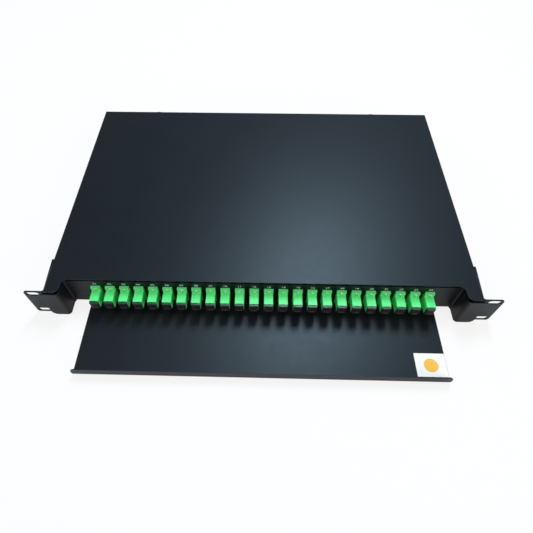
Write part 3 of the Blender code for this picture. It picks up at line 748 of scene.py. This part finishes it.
class FIBREBOX_OT_screws(bpy.types.Operator):
    """Screw heads on the adapter flanges, the ears and the cover"""

    bl_idname = "fibre_box.screws"
    bl_label = "Screws"

    ear_places = (0.032, 0.008)
    cover_front_place = 0.110
    cover_rear_place = 0.030

    def execute(self, context):
        bright = plated("nickel_plate", tuple(colours().screw), 0.30)
        dark = plated("black_zinc", tuple(colours().dark_plate), 0.38)
        size = sizes()
        flange = []
        for number in port_names():
            low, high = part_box("adapter_" + number)
            front_y = self.flange_front(number)
            for end in (low.z + size.flange_screw_inset, high.z - size.flange_screw_inset):
                head = screw_head(size.flange_screw_radius, size.flange_screw_height)
                flange.append((head, facing((0, -1, 0), (port_x(number), front_y, end))))
        add_piece("flange_screws", gather(flange), bright, "root")
        add_piece("ear_screws", gather(self.ear_heads()), dark, "root")
        add_piece("cover_screws", gather(self.cover_heads()), dark, "cover")
        return {"FINISHED"}

    def flange_front(self, number):
        """Depth of the flange's front face, which is the widest part of an adapter."""
        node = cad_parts["adapter_" + number]
        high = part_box("adapter_" + number)[1].z
        return min(v.co.y for v in node.data.vertices if abs(v.co.z - high) < MERGE)

    def ear_heads(self):
        """Two heads on the arm of each ear."""
        size = sizes()
        heads = []
        for name, way in (("left_rack_ear", -1), ("right_rack_ear", 1)):
            low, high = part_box(name)
            arm_x = self.arm_face(name, way)
            for inset in self.ear_places:
                head = screw_head(size.case_screw_radius, size.case_screw_height)
                place = (arm_x, high.y - inset, (low.z + high.z) / 2)
                heads.append((head, facing((way, 0, 0), place)))
        return heads

    def arm_face(self, name, way):
        """Outer face of an ear's arm, measured at its rear end."""
        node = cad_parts[name]
        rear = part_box(name)[1].y
        return way * max(way * v.co.x for v in node.data.vertices if abs(v.co.y - rear) < MERGE)

    def cover_heads(self):
        """Two heads on each side of the cover, behind the ears."""
        size = sizes()
        low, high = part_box("top_cover")
        heads = []
        for way, x in ((-1, low.x), (1, high.x)):
            for y in (low.y + self.cover_front_place, high.y - self.cover_rear_place):
                head = screw_head(size.case_screw_radius, size.case_screw_height)
                heads.append((head, facing((way, 0, 0), (x, y, (low.z + high.z) / 2))))
        return heads


class FIBREBOX_OT_numbers(bpy.types.Operator):
    """Plain port numbers, printed above the adapters"""

    bl_idname = "fibre_box.numbers"
    bl_label = "Port numbers"

    panel_behind_flange = 0.0003

    def execute(self, context):
        ink = printed("white_ink", tuple(colours().ink), 0.55)
        upright = Matrix.Rotation(math.radians(90.0), 4, "X")
        panel_y = self.panel_face()
        parts = []
        for number in port_names():
            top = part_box("adapter_" + number)[1].z
            place = (port_x(number), panel_y, top + sizes().number_rise)
            parts.append((self.letters(number), Matrix.Translation(place) @ upright))
        add_piece("port_numbers", gather(parts), ink, "root")
        return {"FINISHED"}

    def panel_face(self):
        """Front of the recessed panel, just behind the flanges."""
        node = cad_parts["adapter_01"]
        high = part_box("adapter_01")[1].z
        flange_rear = max(v.co.y for v in node.data.vertices if abs(v.co.z - high) < MERGE)
        return flange_rear + self.panel_behind_flange

    def letters(self, text):
        """Mesh of a short text, centred on the origin and facing up."""
        curve = bpy.data.curves.new("letters", "FONT")
        curve.body = text
        curve.size = sizes().number_height
        curve.extrude = PRINT_THICKNESS
        curve.align_x, curve.align_y = "CENTER", "CENTER"
        item = bpy.data.objects.new("letters", curve)
        bpy.context.scene.collection.objects.link(item)
        bpy.context.view_layer.update()
        graph = bpy.context.evaluated_depsgraph_get()
        mesh = bpy.data.meshes.new_from_object(item.evaluated_get(graph))
        bpy.data.objects.remove(item, do_unlink=True)
        bpy.data.curves.remove(curve)
        return mesh


class FIBREBOX_OT_sticker(bpy.types.Operator):
    """White sticker on the tray, with a plain amber disc"""

    bl_idname = "fibre_box.sticker"
    bl_label = "Sticker"

    edge_gap = 0.0003
    tray_above_rail = 0.0012
    paper_height = 0.0001
    corner = 0.0006

    def execute(self, context):
        size = sizes()
        low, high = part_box("pull_out_tray")
        middle = Vector((
            high.x - self.edge_gap - size.sticker_width / 2,
            low.y + size.sticker_behind_lip + size.sticker_depth / 2,
            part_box("left_tray_rail")[0].z + self.tray_above_rail,
        ))
        paper = printed("sticker_paper", tuple(colours().paper), 0.65)
        amber = printed("amber_ink", tuple(colours().amber), 0.45)
        sheet = slab(size.sticker_width, size.sticker_depth, self.paper_height, self.corner)
        laid = gather([(sheet, Matrix.Translation(middle))])
        add_piece("sticker", laid, paper, "tray")
        shape = bmesh.new()
        bmesh.ops.create_circle(
            shape, cap_ends=True, segments=ROUND_SIDES, radius=size.sticker_disc
        )
        shape.faces.ensure_lookup_table()
        raised(shape, shape.faces[0], PRINT_THICKNESS, 1.0)
        above = Matrix.Translation(middle + Vector((0.0, 0.0, self.paper_height)))
        disc = gather([(mesh_of(shape, "disc"), above)])
        add_piece("sticker_disc", disc, amber, "tray")
        return {"FINISHED"}


class FIBREBOX_OT_splice_tray(bpy.types.Operator):
    """White splice tray and its smoked lid"""

    bl_idname = "fibre_box.splice_tray"
    bl_label = "Splice tray"

    def execute(self, context):
        white = moulded("white_tray_plastic", tuple(colours().splice), 0.42)
        lid = smoked("smoked_lid_plastic")
        edge = sizes().moulded_edge
        base = rounded_copy("splice_tray", edge)
        add_piece("splice_base", base, white, "root", ("splice_tray",))
        cover = rounded_copy("splice_tray_lid", edge)
        add_piece("splice_cover", cover, lid, "splice_lid", ("splice_tray_lid",))
        return {"FINISHED"}


class FIBREBOX_OT_glands(bpy.types.Operator):
    """Black cable glands with a rubber seal in the mouth"""

    bl_idname = "fibre_box.glands"
    bl_label = "Cable glands"

    seal_wall = 0.0011
    seal_fit = 0.0002
    seal_length = 0.006
    seal_inset = 0.0008

    def execute(self, context):
        nylon = moulded("black_nylon", tuple(colours().nylon), 0.44, 1100.0)
        rubber = moulded("seal_rubber", tuple(colours().rubber), 0.72, 700.0, 0.3)
        seals = []
        for side in ("left", "right"):
            node = side + "_cable_gland"
            shape = rounded_copy(node, sizes().moulded_edge)
            add_piece("gland_" + side, shape, nylon, "root", (node,))
            low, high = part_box(node)
            mouth = (low + high) / 2
            mouth.y = high.y - self.seal_inset - self.seal_length / 2
            bore = self.bore_radius(node, mouth)
            ring = tube(bore + self.seal_fit, bore - self.seal_wall, self.seal_length)
            seals.append((ring, facing((0, 1, 0), mouth)))
        add_piece("gland_seals", gather(seals), rubber, "root")
        return {"FINISHED"}

    def bore_radius(self, node, middle):
        """Smallest distance of a gland's points from its axis."""
        points = (v.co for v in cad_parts[node].data.vertices)
        return min(math.hypot(p.x - middle.x, p.z - middle.z) for p in points)


class FIBREBOX_PT_panel(bpy.types.Panel):
    """Sizes, colours and making steps of the box"""

    bl_idname = "FIBREBOX_PT_panel"
    bl_label = "Fibre box"
    bl_space_type = "VIEW_3D"
    bl_region_type = "UI"
    bl_category = "Fibre box"

    def draw(self, context):
        for group in (context.scene.fibre_box_sizes, context.scene.fibre_box_colours):
            column = self.layout.column()
            for name in type(group).__annotations__:
                column.prop(group, name)
        for step in STEPS:
            self.layout.operator(step.bl_idname)


GROUPS = (FibreBoxSizes, FibreBoxColours)
STEPS = (
    FIBREBOX_OT_stage,
    FIBREBOX_OT_sheet_metal,
    FIBREBOX_OT_rails,
    FIBREBOX_OT_adapters,
    FIBREBOX_OT_dust_caps,
    FIBREBOX_OT_screws,
    FIBREBOX_OT_numbers,
    FIBREBOX_OT_sticker,
    FIBREBOX_OT_splice_tray,
    FIBREBOX_OT_glands,
)


def register():
    for item in (*GROUPS, *STEPS, FIBREBOX_PT_panel):
        bpy.utils.register_class(item)
    bpy.types.Scene.fibre_box_sizes = bpy.props.PointerProperty(type=FibreBoxSizes)
    bpy.types.Scene.fibre_box_colours = bpy.props.PointerProperty(type=FibreBoxColours)


def unregister():
    del bpy.types.Scene.fibre_box_colours
    del bpy.types.Scene.fibre_box_sizes
    for item in reversed((*GROUPS, *STEPS, FIBREBOX_PT_panel)):
        bpy.utils.unregister_class(item)


def main():
    """Make every piece in order."""
    register()
    for step in STEPS:
        group, name = step.bl_idname.split(".")
        getattr(getattr(bpy.ops, group), name)()


if __name__ == "__main__":
    main()
